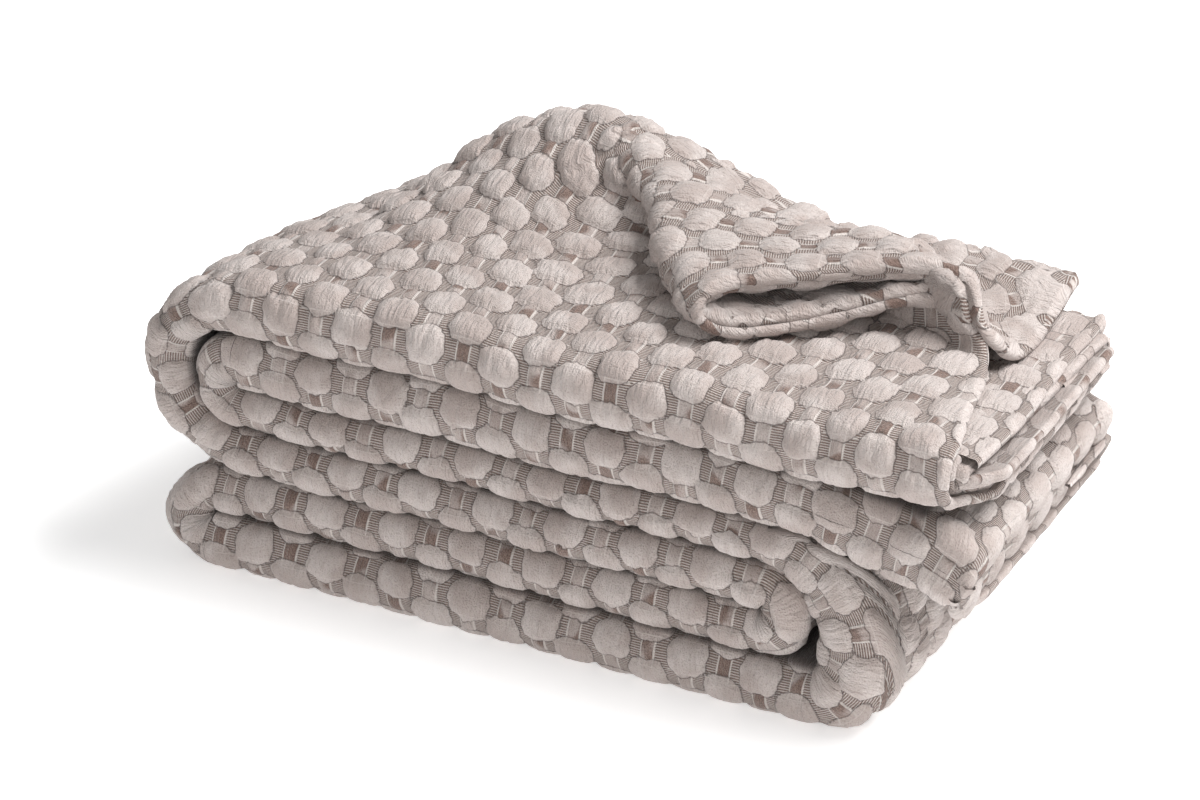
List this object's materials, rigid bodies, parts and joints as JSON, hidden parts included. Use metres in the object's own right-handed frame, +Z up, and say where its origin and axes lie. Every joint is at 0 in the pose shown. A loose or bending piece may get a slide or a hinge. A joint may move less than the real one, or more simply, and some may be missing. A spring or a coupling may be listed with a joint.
{
  "type": "folded matelasse quilt",
  "caption": "Puffed matelasse cotton quilt, folded into a long strip and laid back and forth in a pile, with the top layers turned up in a soft pleat.",
  "frame": {"origin": "centre of the bounding box at the base, on the surface the quilt lies on", "axes": "+X along the front fold from the left turns to the free ends, +Y from the front fold to the back edges, +Z up"},
  "size_m": [0.5322, 0.2086, 0.2572],
  "materials": {
    "cotton": "matelasse-woven cotton in pale greige: soft round puffs of loose floats, ribbed ground and small square cells"
  },
  "bodies": {
    "root": {"quilt": "cotton"}
  },
  "joints": []
}
